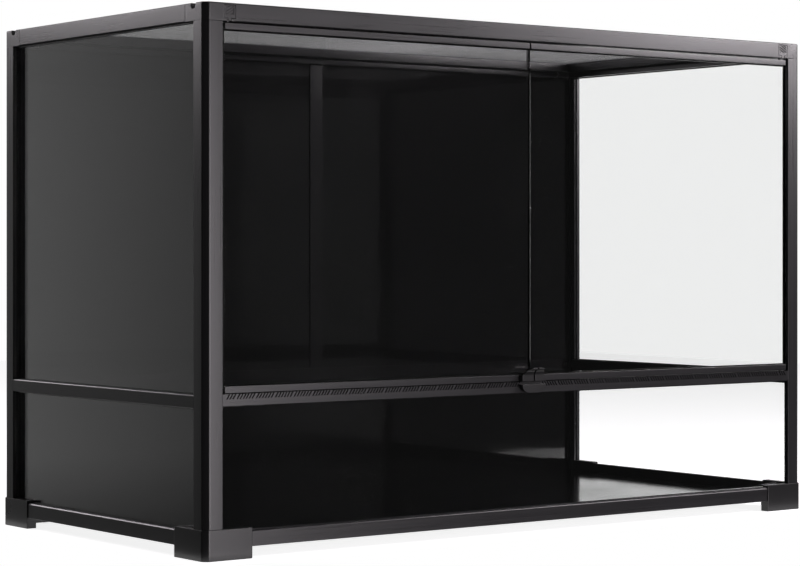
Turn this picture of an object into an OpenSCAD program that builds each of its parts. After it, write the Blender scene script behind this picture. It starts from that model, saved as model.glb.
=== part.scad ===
// Front-opening reptile terrarium: four posts on moulded feet, glass sides, a lower front pane under a
// slotted vent rail, two framed glass doors, glossy back and floor panels, and a lift-off mesh lid.
// X runs along the width, Y from the front to the back, Z up. The origin lies on the floor, under the
// middle of the whole outline, with the handles counted in.

/* [Frame] */
// Width over the corner posts
frame_w = 914; // [620:1:1200]
// Depth over the corner posts
frame_d = 458; // [300:1:700]
// Height from the floor to the top rim
frame_h = 604; // [400:1:900]
// Width of each face of a corner post
post_w = 23; // [21:0.5:25]
// Thickness of a post's two walls, seen from above as an angle
post_wall = 4.6; // [4:0.1:5]
// Solid left around the screw and the dowel inside the angle
boss_wall = 1.8; // [1.4:0.1:2.4]
// Bevel down the outer edge of every corner
edge_bevel = 5.6; // [4:0.2:6.4]
// Radius of the rounding on both sides of that bevel
edge_round = 4; // [0.5:0.5:5]
// Bevel along the top rim
rim_bevel = 1; // [0.4:0.2:2.4]
// Radius of the dowel that joins a top corner to its post
dowel_r = 2.6; // [2:0.1:3]
// Length of that dowel inside the post
dowel_l = 14; // [8:1:30]

/* [Feet] */
// Side of a square foot
foot_w = 62; // [50:1:80]
// Height of a foot
foot_h = 34; // [32.5:0.5:50]
// How far a foot stands out from the post faces
foot_proud = 1.2; // [0.4:0.1:3]
// Depth of the two legs of a foot behind the posts' faces
foot_leg = 11.4; // [11:0.1:14]
// Radius of the rubber pad under each leg
pad_r = 4; // [2.5:0.1:5]
// Thickness of a rubber pad
pad_t = 2.2; // [1.6:0.1:4]
// How far a pad stands below its foot
pad_proud = 0.4; // [0.3:0.1:1.2]
// Distance of the pads from the ends of a foot
pad_end = 9; // [6:0.5:15]
// Depth of the pocket above the pads' level for a screw's head
head_pocket = 3; // [1:0.1:6]
// Radius of a foot screw's shank
screw_r = 1.7; // [1.2:0.1:2]
// Radius of a foot screw's head
head_r = 3.2; // [2.6:0.1:3.6]
// Thickness of a foot screw's head
head_t = 2.2; // [1.6:0.1:3]
// Length of a foot screw inside the post
screw_l = 18; // [10:1:30]
// Distance of the screw and the dowel from the two outer faces of a post
screw_in = 6.8; // [6.4:0.1:7.2]

/* [Rails] */
// Height of the top rails and top corners
top_h = 20; // [19:0.5:26]
// Width of the top rails
top_w = 20; // [18:0.5:24]
// Side of a square top corner
corner_w = 40; // [38:0.5:50]
// Wall of the top rails outside the lid
rim_wall = 12; // [11:0.5:13]
// Height of the ledge that carries the lid
ledge_h = 7.4; // [6:0.2:9]
// Height of the bottom rails' underside above the floor
rail_z = 13.4; // [11:0.2:15]
// Height of the bottom rails
rail_h = 17.6; // [15:0.2:19]
// Depth of the shelf inside the bottom rails
shelf_w = 20; // [17:0.5:30]
// Thickness of that shelf
shelf_t = 2.4; // [2:0.1:3]
// Height of the side and back middle rails' underside
mid_z = 164.4; // [120:0.5:240]
// Height of the middle rails
mid_h = 14.6; // [12:0.2:22]
// Depth of the side middle rails
mid_t = 17; // [16:0.5:24]
// Small bevel on the outer edges of the rails
rail_bevel = 0.8; // [0.3:0.1:1.2]
// Bevel along the upper edge of the bottom rails
sill_bevel = 1.4; // [0.6:0.1:2.4]
// Width of the back mullion
mullion_w = 19.5; // [16:0.5:30]
// Depth of the back mullion and the back middle rail
mullion_t = 12; // [11.5:0.5:16]

/* [Vent rail] */
// Height of the vent rail's underside
vent_z = 167.4; // [120:0.5:240]
// Height of the vent rail
vent_h = 12.7; // [12.5:0.1:18]
// Depth of the vent rail
vent_t = 17; // [16:0.5:22]
// Width of a vent slot
slot_w = 1.8; // [1:0.1:2.4]
// Height of a vent slot
slot_h = 5.6; // [3:0.2:7]
// Lean of the vent slots from upright, in degrees
slot_lean = 33; // [0:1:40]
// Spacing of the slots in a group
slot_pitch = 3.9; // [3.6:0.1:6]
// Slots in a full group
slots_per_group = 6; // [2:1:10]
// Solid space between two groups
group_gap = 3.7; // [2:0.1:10]
// Distance of the first slots from the edge of the keeper
slot_start = 2; // [1:0.5:20]
// Solid left in front of a hinge bush, under the slots that end there
slot_floor = 0.8; // [0.6:0.1:1.2]

/* [Panes] */
// Thickness of the glass panes
glass_t = 4; // [3:0.5:5]
// Depth of the side and lower front panes behind the posts' outer faces
glass_in = 8.2; // [7.6:0.1:9]
// Thickness of the back panels
back_t = 4; // [3:0.5:4.5]
// Depth of the back panels inside the posts' back faces
back_in = 6; // [5:0.5:6.5]
// Thickness of the floor panel
floor_t = 5; // [3:0.5:8]
// How far a pane's side edge reaches behind a post's wall
post_bite = 7; // [4:0.5:7.5]
// How far a pane's edge reaches into a rail
rail_bite = 3; // [2:0.25:3.5]
// Play beside a pane in its groove
pane_slack = 0.2; // [0.1:0.05:0.3]
// Thickness of the black gasket above and below each glass pane
gasket_t = 1.2; // [0.8:0.1:2]
// How far the gasket beside a pane stands back from the end of the post's wall
gasket_back = 2; // [0:0.5:3]

/* [Doors] */
// Gap between a door and its post
door_side_gap = 3.6; // [2.4:0.1:6]
// Gap between the two doors
door_mid_gap = 2.2; // [1.4:0.1:4]
// Gap between a door and the top rail
door_top_gap = 1.9; // [1:0.1:4]
// Gap between a door and the vent rail
door_low_gap = 1; // [0.6:0.1:3]
// Set-back of the door strips behind the posts' faces
strip_in = 0.7; // [0:0.1:1.5]
// Depth of the door strips
strip_t = 10.4; // [9.5:0.1:12]
// Height of the top door strip
top_strip_h = 6.7; // [6.6:0.1:10]
// Height of the bottom door strip
low_strip_h = 7.4; // [6.6:0.1:10]
// Thickness of the door glass
door_glass_t = 4; // [3:0.5:5]
// Depth of the strips' front lip
strip_lip = 2.8; // [2:0.1:3.4]
// How far the door glass reaches into a strip
strip_bite = 2; // [1.2:0.1:2.2]
// How much further the strips' back lip covers the glass
back_lip = 1.3; // [0:0.1:3]
// How far the door glass stops short of a strip's ends
glass_short = 0.6; // [0.2:0.1:2]
// Radius of a hinge pin
pin_r = 1.9; // [1.4:0.1:2.1]
// Distance of the hinge pins from a door's end
pin_in = 6; // [5:0.2:8]
// Length of a hinge pin inside its strip
pin_grip = 3.8; // [2.5:0.1:4]
// Length of the upper hinge pin inside the top corner
pin_top_reach = 4.2; // [3:0.1:4.6]
// Length of the lower hinge pin inside its bush
pin_low_reach = 6; // [4:0.1:7]
// Radial clearance of a hinge pin
pin_clear = 0.05; // [0.02:0.01:0.09]
// Wall of the lower hinge bush
bush_wall = 1.1; // [0.8:0.1:1.4]
// Room beyond the end of a hinge pin
pin_end_gap = 0.6; // [0.4:0.1:1]

/* [Handles and keeper] */
// Width over both handle tabs, and of the keeper under them
latch_w = 36; // [30:0.5:42]
// How far the tabs and the keeper stand out from the posts' faces
latch_out = 6.6; // [6:0.1:9]
// How far the finger lips curve out beyond the tabs
lip_out = 7.6; // [5:0.1:12]
// Thickness of a finger lip
lip_t = 2; // [1.4:0.1:3]
// Width over both finger lips
lip_w = 31.2; // [24:0.4:36]
// Height of the keeper
keeper_h = 9.8; // [8:0.1:11]
// Width of the keeper's rounded lower corners
keeper_round_w = 11.5; // [4:0.5:14]
// Height of the keeper's rounded lower corners
keeper_round_h = 8.4; // [4:0.2:8.6]
// Radius of the catch magnets and their strikes
magnet_r = 2.4; // [1.6:0.1:2.7]
// Thickness of a catch magnet
magnet_t = 2.4; // [1.5:0.1:4]
// Thickness of a strike
strike_t = 1.4; // [0.8:0.1:2]
// Distance of each magnet from the middle of the front
magnet_x = 9; // [5:0.5:12]

/* [Lid] */
// Play between the lid and the rim around it
lid_play = 0.5; // [0.35:0.05:1]
// Gap under the lid frame
lid_lift = 0.3; // [0.3:0.05:0.6]
// Width of the lid frame
lid_w = 21; // [16:0.5:30]
// Thickness of the mesh screen
mesh_t = 0.6; // [0.5:0.1:1.2]
// Depth of the mesh screen below the rim
mesh_in = 0.9; // [0.6:0.1:1.6]
// Depth of its clamping strip below the rim
clamp_in = 0.2; // [0.1:0.05:0.4]
// Openings in the mesh screen along its width, which stand for its fine weave
mesh_cells = 12; // [6:1:12]
// Width of the bars between those openings
mesh_bar = 3; // [1.5:0.5:6]
// How far the mesh reaches under its clamping strip
mesh_bite = 6; // [4:0.5:9]
// Play beside that clamping strip
strip_play = 0.2; // [0.1:0.05:0.4]
// Width of the finger notches in the side of the top corners
notch_w = 9; // [6:0.5:12]
// Depth of those notches below the rim
notch_h = 6.5; // [5:0.5:10]
// Distance of the notches from the corner
notch_at = 23.5; // [20:0.5:28]

/* [Release tabs] */
// Width of the window for a release tab, which ends at the top rail
tab_w = 15.5; // [12:0.5:17]
// Height of that window
tab_h = 14.7; // [11:0.1:15]
// Solid rim above that window
tab_rim = 2.2; // [2:0.1:3]
// Set-back of a release tab behind the corner's face
tab_in = 0.1; // [0.05:0.05:0.2]
// Thickness of a release tab
tab_t = 1.9; // [1.6:0.1:2.2]
// Room behind the foot of a release tab
tab_heel = 0.5; // [0.4:0.05:0.8]
// Room behind the top of a release tab
tab_room = 3; // [2.6:0.1:3.4]
// Gap around a release tab
tab_gap = 0.5; // [0.3:0.05:0.6]
// Width of a release tab's neck
neck_w = 4; // [3:0.2:5]
// Radius of the two stubs that a tab turns on
stub_r = 0.8; // [0.6:0.05:0.9]
// Length of each stub
stub_l = 2; // [1.2:0.1:3]
// Distance of the stubs behind the middle of a tab's thickness
stub_back = 0.45; // [0.3:0.05:0.6]
// Height of the stubs above the underside of the top corner
stub_z = 1.5; // [1.3:0.05:1.7]
// Width of the ribbed grip on a tab
grip_w = 11.4; // [8:0.2:12]
// Height of the ribbed grip
grip_h = 9.5; // [6:0.1:10]
// Depth of the grip below the tab's face
grip_in = 0.8; // [0.3:0.1:1]
// Width of a grip rib
rib_w = 1; // [0.4:0.1:1.2]
// Spacing of the grip ribs
rib_pitch = 2.8; // [1.6:0.1:4]
// Lean of the grip ribs from level, in degrees
rib_lean = 30; // [0:1:60]

/* [Hidden] */

$fn = 48;
// Overrun of every cutting shape past the face it opens
cut = 1;
LEFT = -1;
RIGHT = 1;
FRONT = -1;
REAR = 1;

black = [0.07, 0.07, 0.075];
gloss_black = [0.03, 0.03, 0.035];
rubber_black = [0.05, 0.05, 0.05];
clear_glass = [0.75, 0.8, 0.8, 0.35];
steel = [0.7, 0.7, 0.72];

// Outline in Y: the handles reach furthest forward and the feet furthest back
reach = latch_out + lip_out;
front_y = reach - (reach + frame_d + foot_proud) / 2;
rear_y = front_y + frame_d;
left_x = -frame_w / 2;

// Levels
top_z = frame_h - top_h;
ledge_z = top_z + ledge_h;
shelf_z = rail_z + shelf_t;
rail_top = rail_z + rail_h;
mid_top = mid_z + mid_h;
vent_top = vent_z + vent_h;
post_l = top_z - foot_h;
boss_w = screw_in + dowel_r + boss_wall;
foot_end = foot_w - foot_proud;

// Grooves for the panes
glass_slot = glass_t + 2 * pane_slack;
back_slot = back_t + 2 * pane_slack;
pane_side = post_w - post_bite + pane_slack;
back_side = boss_w + pane_slack;
gasket_w = glass_in + pane_slack - post_wall;

// Doors
door_low_z = vent_top + door_low_gap;
door_top_z = top_z - door_top_gap;
door_start = post_w + door_side_gap;
door_l = (frame_w - 2 * door_start - door_mid_gap) / 2;
strip_back = strip_in + strip_t;
door_glass_in = strip_in + strip_lip;
pin_u = door_start + pin_in;
pin_v = strip_in + strip_t / 2;
pin_bore_r = pin_r + pin_clear;
bush_r = pin_bore_r + bush_wall;
bush_h = pin_low_reach + pin_end_gap;

// Lid
lid_in = rim_wall + lid_play;
lid_hole_in = lid_in + lid_w;
mesh_z = frame_h - mesh_in - mesh_t;
mesh_edge_in = lid_hole_in - mesh_bite;
mesh_room = [frame_w, frame_d] - 2 * [lid_hole_in, lid_hole_in];
mesh_grid = [mesh_cells, round(mesh_cells * mesh_room[1] / mesh_room[0])];
mesh_pitch = [for (i = [0, 1]) (mesh_room[i] + mesh_bar) / mesh_grid[i]];

// Release tabs
tab_z = frame_h - tab_rim - tab_h;
tab_u = corner_w - tab_w;
tab_mid = corner_w - tab_w / 2;
tab_back = tab_in + tab_t;
stub_v = tab_in + tab_t / 2 + stub_back;
window_low_v = tab_back + tab_heel;
window_top_v = tab_back + tab_room;

// Latch
keeper_top = vent_z + keeper_h;
magnet_v = -latch_out / 2;

// --- Placing ---

module flip_x(on) {
    if (on) mirror([1, 0, 0]) children();
    else children();
}

module flip_y(on) {
    if (on) mirror([0, 1, 0]) children();
    else children();
}

// From here a piece is drawn on the left, and mirrored over for the right
module on_side(side) flip_x(side == RIGHT) children();

// X runs from the left face inward, and Y from the front or back face inward
module at_end(end) translate([0, end == FRONT ? front_y : rear_y, 0]) flip_y(end == REAR) children();

module at_corner(side, end) on_side(side) translate([left_x, 0, 0]) at_end(end) children();

// A profile of [depth, height] run along X, and one of [width, height] run along Y
module along_x(length) rotate([90, 0, 90]) linear_extrude(length) children();

module along_y(length) translate([0, length, 0]) rotate([90, 0, 0]) linear_extrude(length) children();

// A rail between two corners, which ends a distance short of the frame's faces
module rail_along_x(end, short) at_end(end) translate([left_x + short, 0, 0])
    along_x(frame_w - 2 * short) children();

module rail_along_y(side, short) on_side(side) translate([left_x, front_y + short, 0])
    along_y(frame_d - 2 * short) children();

module block(low, high) translate(low) cube(high - low);

// --- Profiles ---

// Points of an arc about a centre, between two angles
function arc(centre, radius, from, to, steps) = [for (i = [0 : steps])
    let (angle = from + (to - from) * i / steps) centre + radius * [cos(angle), sin(angle)]];

// A square whose outer corner is bevelled, with the bevel rounded into the two faces
module bevelled_square(size, proud = 0) {
    far = edge_bevel + edge_round * tan(22.5);
    translate([-proud, -proud]) polygon(concat(
        arc([edge_round, far], edge_round, 180, 225, 3), arc([far, edge_round], edge_round, 225, 270, 3),
        [[size, 0], [size, size], [0, size]]));
}

// What stays open inside two walls of a corner, clear of the solid around the screw and the dowel
module corner_room(wall_u, wall_v, size) difference() {
    translate([wall_u, wall_v]) square(size);
    square(boss_w);
}

module bottom_rail_profile(wall) polygon([[0, rail_z], [shelf_w, rail_z], [shelf_w, shelf_z],
    [wall, shelf_z], [wall, rail_top], [sill_bevel, rail_top], [0, rail_top - sill_bevel]]);

module top_rail_profile() polygon([[rail_bevel, top_z], [top_w, top_z], [top_w, ledge_z],
    [rim_wall, ledge_z], [rim_wall, frame_h], [rim_bevel, frame_h], [0, frame_h - rim_bevel],
    [0, top_z + rail_bevel]]);

module mid_rail_profile(depth) polygon([[rail_bevel, mid_z], [depth, mid_z], [depth, mid_top],
    [rail_bevel, mid_top], [0, mid_top - rail_bevel], [0, mid_z + rail_bevel]]);

// A groove for a pane's edge, from a level up or down
module groove_profile(at, width, low, high) translate([at, low]) square([width, high - low]);

module side_top_profile(at, width) difference() {
    top_rail_profile();
    groove_profile(at, width, top_z - cut, top_z + rail_bite + pane_slack);
}

module side_mid_profile(depth, at, width) difference() {
    mid_rail_profile(depth);
    groove_profile(at, width, mid_top - rail_bite, mid_top + cut);
    groove_profile(at, width, mid_z - cut, mid_z + rail_bite + pane_slack);
}

// --- Feet ---

module screw_axis() translate([screw_in, screw_in, 0]) children();

// The two pads of a foot, one under each leg
module pads() {
    along = foot_end - pad_end;
    across = (foot_leg - foot_proud) / 2;
    for (at = [[along, across], [across, along]]) translate(at) cylinder(r = pad_r, h = pad_t);
}

// Two legs along the faces of the frame, and a plate between them under the floor panel
module foot(side, end) {
    wall_v = end == FRONT ? glass_in : back_in;
    color(black) at_corner(side, end) difference() {
        translate([0, 0, pad_proud]) linear_extrude(foot_h - pad_proud)
            bevelled_square(foot_w, foot_proud);
        translate([0, 0, shelf_z]) linear_extrude(foot_h) corner_room(glass_in, wall_v, foot_w);
        block([foot_leg, foot_leg, -cut], [foot_w + cut, foot_w + cut, rail_z]);
        pads();
        screw_axis() cylinder(r = screw_r + pane_slack, h = foot_h + cut);
        screw_axis() cylinder(r = head_r + pane_slack, h = pad_proud + head_pocket + head_t);
    }
}

module foot_pads() color(rubber_black) for (side = [LEFT, RIGHT], end = [FRONT, REAR])
    at_corner(side, end) pads();

module foot_screws() {
    head_z = pad_proud + head_pocket + head_t;
    color(steel) for (side = [LEFT, RIGHT], end = [FRONT, REAR]) at_corner(side, end) screw_axis() {
        translate([0, 0, head_z - head_t]) cylinder(r = head_r, h = head_t);
        translate([0, 0, head_z]) cylinder(r = screw_r, h = foot_h + screw_l - head_z);
    }
}

// --- Posts, rails and top corners ---

module post(side, end) color(black) at_corner(side, end) difference() {
    translate([0, 0, foot_h]) linear_extrude(post_l) difference() {
        bevelled_square(post_w);
        corner_room(post_wall, end == FRONT ? post_wall : back_in, post_w);
    }
    screw_axis() translate([0, 0, foot_h - cut]) cylinder(r = screw_r, h = screw_l + cut);
    screw_axis() translate([0, 0, top_z - dowel_l - pane_slack])
        cylinder(r = dowel_r, h = dowel_l + pane_slack + cut);
}

// Window behind a release tab, deeper at the top, where the tab swings in
module tab_window() translate([tab_u, 0, 0]) along_x(tab_w + cut) polygon([[-cut, tab_z],
    [window_low_v, tab_z], [window_top_v, tab_z + tab_h], [-cut, tab_z + tab_h]]);

module neck_slot() block([tab_mid - neck_w / 2 - tab_gap, -cut, top_z - cut],
    [tab_mid + neck_w / 2 + tab_gap, window_low_v, tab_z + cut]);

module stub_axis(radius, length) translate([tab_mid - length / 2, stub_v, top_z + stub_z])
    rotate([0, 90, 0]) cylinder(r = radius, h = length);

module finger_notch() {
    low = frame_h - notch_h + notch_w / 2;
    translate([-cut, notch_at, low]) rotate([0, 90, 0]) cylinder(r = notch_w / 2, h = rim_wall + 2 * cut);
    block([-cut, notch_at - notch_w / 2, low], [rim_wall + cut, notch_at + notch_w / 2, frame_h + cut]);
}

// Prism that bevels the rim of a corner, along X from the origin
module rim_cutter(length) translate([-cut, 0, 0]) along_x(length + 2 * cut)
    polygon([[-cut, frame_h + cut], [-cut, frame_h - rim_bevel - cut], [rim_bevel + cut, frame_h + cut]]);

module top_corner(side, end) color(black) at_corner(side, end) {
    difference() {
        translate([0, 0, top_z]) linear_extrude(top_h) bevelled_square(corner_w);
        block([rim_wall, rim_wall, ledge_z], [corner_w + cut, corner_w + cut, frame_h + cut]);
        block([top_w, top_w, top_z - cut], [corner_w + cut, corner_w + cut, frame_h]);
        rim_cutter(corner_w);
        mirror([1, -1, 0]) rim_cutter(corner_w);
        translate([0, edge_bevel, 0]) rotate(-45) rim_cutter(edge_bevel * sqrt(2));
        block([glass_in, post_w - post_bite, top_z - cut],
            [glass_in + glass_slot, corner_w + cut, top_z + rail_bite + pane_slack]);
        if (end == REAR) block([boss_w, back_in, top_z - cut],
            [corner_w + cut, back_in + back_slot, top_z + rail_bite + pane_slack]);
        finger_notch();
        if (end == FRONT) {
            tab_window();
            neck_slot();
            stub_axis(stub_r + pin_clear, neck_w + 2 * (stub_l + tab_gap));
            translate([pin_u, pin_v, top_z - cut])
                cylinder(r = pin_bore_r, h = pin_top_reach + pin_end_gap + cut);
        }
    }
    screw_axis() translate([0, 0, top_z - dowel_l]) cylinder(r = dowel_r, h = dowel_l + cut);
}

module top_rail_front() color(black) rail_along_x(FRONT, corner_w) top_rail_profile();

module top_rail_rear() color(black) rail_along_x(REAR, corner_w) side_top_profile(back_in, back_slot);

module top_rail_side(side) color(black) rail_along_y(side, corner_w)
    side_top_profile(glass_in, glass_slot);

module bottom_rail_front() color(black) rail_along_x(FRONT, foot_end) bottom_rail_profile(glass_in);

module bottom_rail_rear() color(black) rail_along_x(REAR, foot_end) bottom_rail_profile(back_in);

module bottom_rail_side(side) color(black) rail_along_y(side, foot_end) bottom_rail_profile(glass_in);

module mid_rail_side(side) color(black) rail_along_y(side, post_w)
    side_mid_profile(mid_t, glass_in, glass_slot);

module mid_rail_rear() color(black) rail_along_x(REAR, post_w)
    side_mid_profile(mullion_t, back_in, back_slot);

// Upright bar between the two upper back panels
module rear_mullion() color(black) at_end(REAR) translate([0, 0, mid_top]) linear_extrude(top_z - mid_top)
    difference() {
        translate([-mullion_w / 2, 0]) square([mullion_w, mullion_t]);
        for (side = [LEFT, RIGHT]) on_side(side)
            translate([-mullion_w / 2 - cut, back_in]) square([rail_bite + pane_slack + cut, back_slot]);
    }

// --- Vent rail ---

// One slot, open at the top edge of the rail and leaning towards the middle
module vent_slot() {
    shift = (slot_h + cut) * tan(slot_lean);
    translate([0, vent_top - slot_h])
        polygon([[0, 0], [slot_w, 0], [slot_w + shift, slot_h + cut], [shift, slot_h + cut]]);
}

// The slots left of the middle that start between two distances from it, out of the groups that are laid
// out from the keeper to the post
module vent_slots(low, high) {
    group_pitch = slots_per_group * slot_pitch + group_gap - (slot_pitch - slot_w);
    for (start = [latch_w / 2 + slot_start : group_pitch : high], i = [0 : slots_per_group - 1]) {
        at = start + i * slot_pitch;
        if (at >= low && at < high) translate([-at - slot_w, 0]) vent_slot();
    }
}

// The slots that would meet a hinge bush or its bore only go into the front of the rail
module vent_rail() color(black) at_end(FRONT) difference() {
    bush_end = frame_w / 2 - pin_u - bush_r - slot_pitch;
    rail_end = frame_w / 2 - post_w - slot_pitch;
    along_y(vent_t) difference() {
        translate([left_x + post_w, vent_z]) square([frame_w - 2 * post_w, vent_h]);
        for (side = [LEFT, RIGHT]) on_side(side) vent_slots(0, bush_end);
    }
    translate([0, -cut, 0]) along_y(cut + pin_v - bush_r - slot_floor)
        for (side = [LEFT, RIGHT]) on_side(side) vent_slots(bush_end, rail_end);
    block([left_x, glass_in, vent_z - cut],
        [-left_x, glass_in + glass_slot, vent_z + rail_bite + pane_slack]);
    for (side = [LEFT, RIGHT]) on_side(side) translate([left_x + pin_u, pin_v, vent_top - bush_h])
        cylinder(r = bush_r, h = bush_h + cut);
}

module hinge_bushes() color(steel) at_end(FRONT) for (side = [LEFT, RIGHT]) on_side(side)
    translate([left_x + pin_u, pin_v, vent_top - bush_h]) difference() {
        cylinder(r = bush_r, h = bush_h);
        translate([0, 0, -cut]) cylinder(r = pin_bore_r, h = bush_h + 2 * cut);
    }

// --- Panes and panels ---

module front_pane() color(clear_glass) at_end(FRONT) block([left_x + pane_side, glass_in + pane_slack, shelf_z],
    [-left_x - pane_side, glass_in + pane_slack + glass_t, vent_z + rail_bite]);

// A side pane between two levels
module side_pane(side, low, high) color(clear_glass) on_side(side)
    block([left_x + glass_in + pane_slack, front_y + pane_side, low],
        [left_x + glass_in + pane_slack + glass_t, rear_y - pane_side, high]);

module upper_pane(side) side_pane(side, mid_top - rail_bite, top_z + rail_bite);

module lower_pane(side) side_pane(side, shelf_z, mid_z + rail_bite);

module back_panel_upper(side) color(gloss_black) on_side(side) at_end(REAR)
    block([left_x + back_side, back_in + pane_slack, mid_top - rail_bite],
        [-mullion_w / 2 + rail_bite, back_in + pane_slack + back_t, top_z + rail_bite]);

module back_panel_lower() color(gloss_black) at_end(REAR)
    block([left_x + back_side, back_in + pane_slack, shelf_z],
        [-left_x - back_side, back_in + pane_slack + back_t, mid_z + rail_bite]);

module floor_panel() {
    glass_edge = glass_in + glass_t + 2 * pane_slack;
    back_edge = back_in + back_t + 2 * pane_slack;
    color(gloss_black) block([left_x + glass_edge, front_y + glass_edge, shelf_z],
        [-left_x - glass_edge, rear_y - back_edge, shelf_z + floor_t]);
}

// Four strips around an opening, drawn flat: across from a to b and up from low to high, with the lower
// strip at its own level and between its own ends, where the feet stand in the way. Those on the two
// sides lie behind the posts' walls, between the wall and the pane
module gasket_strips(a, b, low, high, base, base_in) along_y(gasket_w) {
    translate([a - gasket_back, high - gasket_t]) square([b - a + 2 * gasket_back, gasket_t]);
    for (x = [a - post_bite, b + gasket_back])
        translate([x, low]) square([post_bite - gasket_back, high - low]);
    translate([a + base_in, base]) square([b - a - 2 * base_in, gasket_t]);
}

module gasket_at_side(side, low, base, base_in, high) on_side(side)
    translate([left_x + glass_in + pane_slack, 0, 0]) rotate(90)
        gasket_strips(front_y + post_w, rear_y - post_w, low, high, base, base_in);

module glass_gaskets() color(rubber_black) {
    base_in = foot_end - post_w;
    for (side = [LEFT, RIGHT]) {
        gasket_at_side(side, mid_top, mid_top, 0, top_z);
        gasket_at_side(side, foot_h, rail_top, base_in, mid_z);
    }
    translate([0, front_y + glass_in + pane_slack - gasket_w, 0])
        gasket_strips(left_x + post_w, -left_x - post_w, foot_h, vent_z, rail_top, base_in);
}

// --- Doors ---

// X runs from the hinge end of a door, and Y from the front of the posts
module at_door(side) on_side(side) translate([left_x + door_start, front_y, 0]) children();

module door_glass(side) {
    front = door_glass_in + pane_slack;
    color(clear_glass) at_door(side)
        block([glass_short, front, door_low_z + low_strip_h - strip_bite],
            [door_l - glass_short, front + door_glass_t, door_top_z - top_strip_h + strip_bite]);
}

// A channel between two levels with its open edge at the second, which may lie above or below the first
module door_channel(base, edge) along_x(door_l) {
    grow = edge > base ? 1 : -1;
    slot_v = door_glass_in + door_glass_t + 2 * pane_slack;
    web = edge - grow * strip_bite;
    lip = edge + grow * back_lip;
    polygon([[strip_in, base], [strip_in, edge], [door_glass_in, edge], [door_glass_in, web],
        [slot_v, web], [slot_v, lip], [strip_back, lip], [strip_back, base]]);
}

module pin_at(z) translate([pin_in, pin_v, z]) children();

module door_top_strip(side) color(black) at_door(side) difference() {
    door_channel(door_top_z, door_top_z - top_strip_h);
    pin_at(door_top_z - pin_grip) cylinder(r = pin_r, h = pin_grip + cut);
}

module door_low_strip(side) color(black) at_door(side) difference() {
    door_channel(door_low_z, door_low_z + low_strip_h);
    pin_at(door_low_z - cut) cylinder(r = pin_r, h = pin_grip + cut);
}

module hinge_pins(side) color(steel) at_door(side) {
    pin_at(door_top_z - pin_grip) cylinder(r = pin_r, h = pin_grip + door_top_gap + pin_top_reach);
    pin_at(door_low_z - door_low_gap - pin_low_reach)
        cylinder(r = pin_r, h = pin_grip + door_low_gap + pin_low_reach);
}

// Side view of a handle as [Y, Z]: a tab over the strip, and a lip that curves up and out in front of the glass
module handle_profile() {
    strip_top = door_low_z + low_strip_h;
    centre = [-latch_out - lip_out, strip_top - rail_bevel];
    polygon(concat([[strip_in, door_low_z], [strip_in, strip_top]],
        arc(centre, lip_out + lip_t, 0, 90, 12), arc(centre, lip_out, 90, 0, 12),
        [[-latch_out, door_low_z]]));
}

// Front view of the handles: two tabs with a half-round crown over them
module handle_outline() {
    strip_top = door_low_z + low_strip_h;
    crown_h = lip_out + lip_t;
    translate([-latch_w / 2, door_low_z]) square([latch_w, low_strip_h]);
    translate([0, strip_top - cut]) polygon([for (i = [0 : 24]) let (angle = i * 180 / 24)
        [lip_w / 2 * cos(angle), (crown_h + cut) * sin(angle)]]);
}

module door_handle(side) color(black) at_end(FRONT) difference() {
    intersection() {
        translate([-latch_w / 2, 0, 0]) along_x(latch_w) handle_profile();
        translate([0, -reach - cut, 0]) along_y(reach + 2 * cut) handle_outline();
        on_side(side) block([-latch_w, -reach - cut, door_low_z - cut], [-door_mid_gap / 2, reach, frame_h]);
    }
    on_side(side) translate([-magnet_x, magnet_v, door_low_z - cut]) cylinder(r = magnet_r, h = strike_t + cut);
}

module door_strike(side) color(steel) at_end(FRONT) on_side(side)
    translate([-magnet_x, magnet_v, door_low_z]) cylinder(r = magnet_r, h = strike_t);

// --- Keeper under the handles ---

module keeper_outline() polygon(concat(
    [[latch_w / 2, keeper_top], [-latch_w / 2, keeper_top]],
    [for (i = [0 : 8]) let (angle = 180 + 90 * i / 8) [-latch_w / 2 + keeper_round_w * (1 + cos(angle)),
        vent_z + keeper_round_h * (1 + sin(angle))]],
    [for (i = [0 : 8]) let (angle = 270 + 90 * i / 8) [latch_w / 2 - keeper_round_w * (1 - cos(angle)),
        vent_z + keeper_round_h * (1 + sin(angle))]]));

module latch_keeper() color(black) at_end(FRONT) difference() {
    translate([0, -latch_out, 0]) along_y(latch_out) keeper_outline();
    for (side = [LEFT, RIGHT]) translate([side * magnet_x, magnet_v, keeper_top - magnet_t])
        cylinder(r = magnet_r, h = magnet_t + cut);
}

module latch_magnets() color(steel) at_end(FRONT) for (side = [LEFT, RIGHT])
    translate([side * magnet_x, magnet_v, keeper_top - magnet_t]) cylinder(r = magnet_r, h = magnet_t);

// --- Lid ---

// A rectangle inside the frame's outline by an equal distance, from one level up to another
module inner_block(inset, low, high) block([left_x + inset, front_y + inset, low],
    [-left_x - inset, rear_y - inset, high]);

module lid_frame() color(black) difference() {
    inner_block(lid_in, ledge_z + lid_lift, frame_h);
    inner_block(lid_hole_in, ledge_z - cut, frame_h + cut);
    inner_block(mesh_edge_in, mesh_z, frame_h + cut);
}

module mesh_screen() color(steel) difference() {
    inner_block(mesh_edge_in, mesh_z, mesh_z + mesh_t);
    translate([left_x + lid_hole_in, front_y + lid_hole_in, mesh_z - cut])
        for (i = [0 : mesh_grid[0] - 1], j = [0 : mesh_grid[1] - 1])
            translate([i * mesh_pitch[0], j * mesh_pitch[1], 0])
                cube([mesh_pitch[0] - mesh_bar, mesh_pitch[1] - mesh_bar, mesh_t + 2 * cut]);
}

module mesh_clamp_strip() color(rubber_black) difference() {
    inner_block(mesh_edge_in + strip_play, mesh_z + mesh_t, frame_h - clamp_in);
    inner_block(lid_hole_in, mesh_z - cut, frame_h + cut);
}

// --- Release tabs ---

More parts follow.
